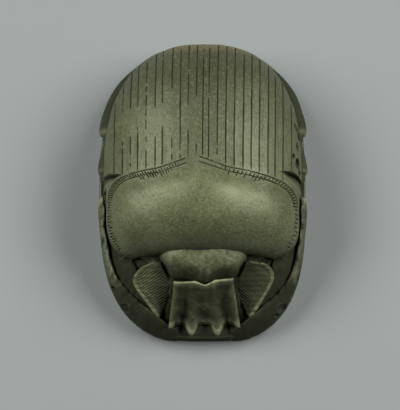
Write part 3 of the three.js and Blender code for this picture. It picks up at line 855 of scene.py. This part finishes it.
def finish_skin(body):
    """Rounds the edges a little, lets the surface waver, leans both ends to the right by END_SHIFT *
    y^2, and stores how hollow and how sheltered the skin is."""
    full_hollow, most_filled, most_rubbed, unevenness = 0.05 * MM, 0.02 * MM, 0.06 * MM, 0.05 * MM
    sharp_degrees = 38
    mesh = body.data
    points, edges = mesh_arrays(mesh)
    normals = np.empty(len(points) * 3)
    mesh.vertices.foreach_get("normal", normals)
    normals = normals.reshape(-1, 3)
    free = smooth(0.3 * MM, 1 * MM, points[:, 2])[:, None]
    toward = neighbour_mean(points, edges, len(points)) - points
    depth = np.einsum("ij,ij->i", toward, normals)
    store(mesh, "hollow", np.clip(depth / full_hollow, -1, 1))
    moved = np.clip(depth, -most_rubbed, most_filled) + unevenness * waver(points, 5 * MM, seed=11)
    points = points + normals * moved[:, None] * free
    points[:, 0] += END_SHIFT * (points[:, 1] / HALF_LENGTH) ** 2
    points = np.clip(points, np.array(CAD_LOW), np.array(CAD_HIGH))
    # How sheltered each point is, weighted to the head, feeds painted shade with dirt
    forward = smooth(-0.3 * HALF_LENGTH, -0.75 * HALF_LENGTH, points[:, 1])
    store(mesh, "shelter", shelter(points) / MM * lerp(0.45, 1, forward))
    mesh.vertices.foreach_set("co", points.ravel())
    mesh.update()
    mesh.shade_smooth()
    mesh.set_sharp_from_angle(angle=math.radians(sharp_degrees))


def linear(hex_colour):
    """An sRGB hex value as linear red, green, blue and alpha."""
    channels = [int(hex_colour[i : i + 2], 16) / 255 for i in (1, 3, 5)]
    return [c / 12.92 if c <= 0.04045 else ((c + 0.055) / 1.055) ** 2.4 for c in channels] + [1]


def add_node(tree, kind, settings=(), links=()):
    """Adds a node, sets its properties and sockets, and links its inputs from other sockets."""
    node = tree.nodes.new(kind)
    for name, value in dict(settings).items():
        if isinstance(name, str) and hasattr(node, name):
            setattr(node, name, value)
        else:
            node.inputs[name].default_value = value
    for name, source in dict(links).items():
        tree.links.new(source, node.inputs[name])
    return node


def per_metre(size_mm):
    """Noise scale that gives features of about a size in millimetres."""
    return 1 / (size_mm * MM)


def polished_greenstone():
    """Dense green-grey stone, rubbed to a satin polish that gives the back its soft glow, helped by
    painted highlights on the collar, the face, the knees and the edges. Dirt and painted shade keep
    to the cuts, the hollows and the sheltered parts at the head, and painted shade darkens the tail
    half. The tail end has turned ochre."""
    material = bpy.data.materials.new("polished greenstone")
    material.use_nodes = True
    tree = material.node_tree
    shader = tree.nodes["Principled BSDF"]
    place = add_node(tree, "ShaderNodeTexCoord").outputs["Object"]

    # The stone's own grain is finer than 0.25 mm, and is drawn that coarse so that it shows
    patterns = {
        "mottle": {"Scale": per_metre(7), "Detail": 5, "Roughness": 0.6},
        "speckle": {"Scale": per_metre(0.5), "Detail": 4, "Roughness": 0.7},
        "grain": {"Scale": per_metre(0.25), "Detail": 4},
    }
    value = {}
    for name, settings in patterns.items():
        value[name] = add_node(tree, "ShaderNodeTexNoise", settings, {"Vector": place}).outputs["Fac"]
    for name in ("hollow", "dirt_shade_and_highlight", "shelter"):
        value[name] = add_node(tree, "ShaderNodeAttribute", {"attribute_name": name}).outputs["Fac"]
    pits = add_node(tree, "ShaderNodeTexVoronoi", {"Scale": per_metre(1.3)}, {"Vector": place})
    value["pits"] = pits.outputs["Distance"]
    apart = add_node(tree, "ShaderNodeSeparateXYZ", links={0: place})
    value["along"] = apart.outputs["Y"]
    aside = add_node(tree, "ShaderNodeMath", {"operation": "ABSOLUTE"}, {0: apart.outputs["X"]})
    value["aside"] = aside.outputs[0]

    # Each span takes a value from its start to its end onto low to high, and stops there
    spans = {
        "light mottling": ("mottle", 0.35, 0.65, 0, 1),
        "strip across": ("aside", 11 * MM, 2 * MM, 0, 1),
        "strip along": ("along", -4 * MM, 4 * MM, 0, 0.45),
        "matt wing cases": ("along", -0.05 * HALF_LENGTH, 0, 0, 0.12),
        # Painted shade over the tail half
        "painted shade on tail half": ("along", 0.1 * HALF_LENGTH, 0.62 * HALF_LENGTH, 0, 0.62),
        "ochre tail": ("along", 0.8 * HALF_LENGTH, 0.95 * HALF_LENGTH, 0, 0.85),
        "dark specks": ("speckle", 0.5, 0.66, 0, 0.5),
        "pale flecks": ("speckle", 0.46, 0.3, 0, 0.55),
        "dark pits": ("pits", 0.07, 0.13, 0.6, 0),
        # Dirt with painted shade in sheltered parts and hollows
        "sheltered shade and dirt": ("shelter", 0, 3.5, 0, 0.92),
        "shade and dirt in hollows": ("hollow", 0.05, 0.5, 0, 0.9),
        # Dirt with painted shade below 0 and painted highlights above 0 of the stored value
        "dirt_and_shade": ("dirt_shade_and_highlight", 0, -1, 0, 0.92),
        "painted highlights": ("dirt_shade_and_highlight", 0, 1, 0, 0.8),
        "polish": ("along", -0.05 * HALF_LENGTH, 0, 0.32, 0.45),
        "rough dirt": ("dirt_shade_and_highlight", 0, -1, 0, 0.4),
        "rough skin": ("shelter", -2, 2, 0, 0.2),
        "pit depth": ("pits", 0.05, 0.14, -1, 0),
    }
    share = {}
    for name, (source, start, end, low, high) in spans.items():
        limits = {1: start, 2: end, 3: low, 4: high}
        share[name] = add_node(tree, "ShaderNodeMapRange", limits, {0: value[source]}).outputs[0]
    strip = {0: share["strip across"], 1: share["strip along"]}
    share["middle strip"] = add_node(tree, "ShaderNodeMath", {"operation": "MULTIPLY"}, strip).outputs[0]

    # The stone's two greens, and what lies over them, one layer on another: marks, dirt, painted shade
    # and painted highlights
    greens = {"data_type": "RGBA", 6: linear("#4D5137"), 7: linear("#5C6145")}
    colour = add_node(tree, "ShaderNodeMix", greens, {0: share["light mottling"]}).outputs[2]
    layers = {
        "middle strip": "#25271A",
        "matt wing cases": "#2A2B1A",
        "painted shade on tail half": "#2A2B1A",
        "ochre tail": "#6E6338",
        "dark specks": "#25271A",
        "pale flecks": "#757A57",
        "dark pits": "#1D1E13",
        "sheltered shade and dirt": "#17180A",
        "shade and dirt in hollows": "#0B0B06",
        "dirt_and_shade": "#16170A",
        "painted highlights": "#7E8262",
    }
    for name, tone in layers.items():
        over = {"data_type": "RGBA", 7: linear(tone)}
        colour = add_node(tree, "ShaderNodeMix", over, {0: share[name], 6: colour}).outputs[2]
    tree.links.new(colour, shader.inputs["Base Color"])

    # Roughness and relief are sums
    rough_parts = (share["polish"], share["rough dirt"], share["rough skin"])
    relief_parts = (value["grain"], share["pit depth"])
    sums = []
    for total, *others in (rough_parts, relief_parts):
        for other in others:
            both = {0: total, 1: other}
            total = add_node(tree, "ShaderNodeMath", {"operation": "ADD"}, both).outputs[0]
        sums.append(total)
    rough, relief = sums
    tree.links.new(rough, shader.inputs["Roughness"])
    bump = add_node(tree, "ShaderNodeBump", {"Strength": 0.5, "Distance": 0.14 * MM}, {"Height": relief})
    tree.links.new(bump.outputs["Normal"], shader.inputs["Normal"])
    shader.inputs["IOR"].default_value = 1.5
    shader.inputs["Specular Tint"].default_value = linear("#F6FADC")
    return material


def studio_floor():
    """A wide pale grey sheet of board under the amulet."""
    half = 0.6
    mesh = bpy.data.meshes.new("floor")
    corners = [(-half, -half, 0), (half, -half, 0), (half, half, 0), (-half, half, 0)]
    mesh.from_pydata(corners, [], [(0, 1, 2, 3)])
    floor = bpy.data.objects.new("floor", mesh)
    bpy.context.scene.collection.objects.link(floor)
    material = bpy.data.materials.new("pale grey board")
    material.use_nodes = True
    shader = material.node_tree.nodes["Principled BSDF"]
    shader.inputs["Base Color"].default_value = linear("#7E8381")
    shader.inputs["Roughness"].default_value = 0.9
    mesh.materials.append(material)


def aim(thing, target):
    """Turns a camera or a lamp, which look down their own -Z, to a target."""
    thing.rotation_euler = (Vector(target) - thing.location).to_track_quat("-Z", "Y").to_euler()


def camera():
    """Looks down from 75 degrees over the head end, so that the photograph's 400 pixels span 80 mm."""
    distance = 0.45
    sensor = 36
    picture_width = 80 * MM
    elevation = math.radians(75)
    target = Vector((-0.5, -2.1, 0)) * MM
    data = bpy.data.cameras.new("camera")
    data.sensor_fit = "HORIZONTAL"
    data.sensor_width = sensor
    data.lens = sensor * distance / picture_width
    made = bpy.data.objects.new("camera", data)
    made.location = target + distance * Vector((0, -math.cos(elevation), math.sin(elevation)))
    aim(made, target)
    bpy.context.scene.collection.objects.link(made)
    bpy.context.scene.camera = made


def soft_lamp(name, place, size, power):
    """A long soft lamp that faces the middle of the amulet."""
    data = bpy.data.lights.new(name, "AREA")
    data.shape = "RECTANGLE"
    data.size, data.size_y = size
    data.energy = power
    lamp = bpy.data.objects.new(name, data)
    lamp.location = place
    aim(lamp, (0, 0, 10 * MM))
    bpy.context.scene.collection.objects.link(lamp)


def lights():
    """Two long soft lamps high on the left and right, leaning to the tail, and a dim even sky."""
    tilt = math.radians(109)
    off_axis = math.radians(41)
    distance = 0.9
    size = (0.8, 0.35)
    between = Vector((0, -math.cos(tilt), math.sin(tilt)))
    for name, side, power in (("left lamp", -1, 10), ("right lamp", 1, 10.8)):
        place = between * math.cos(off_axis) + Vector((side, 0, 0)) * math.sin(off_axis)
        soft_lamp(name, place * distance, size, power)
    world = bpy.data.worlds.new("even sky")
    world.use_nodes = True
    world.node_tree.nodes["Background"].inputs["Color"].default_value = linear("#C8CCCC")
    world.node_tree.nodes["Background"].inputs["Strength"].default_value = 0.02
    bpy.context.scene.world = world


camera()
lights()
studio_floor()

scarab = carve()
scarab.name = "carved_scarab"
finish_skin(scarab)
scarab.data.materials.clear()
scarab.data.materials.append(polished_greenstone())
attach(scarab, "root")
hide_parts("scarab")
bpy.context.scene.view_settings.view_transform = "Standard"

bpy.context.view_layer.update()
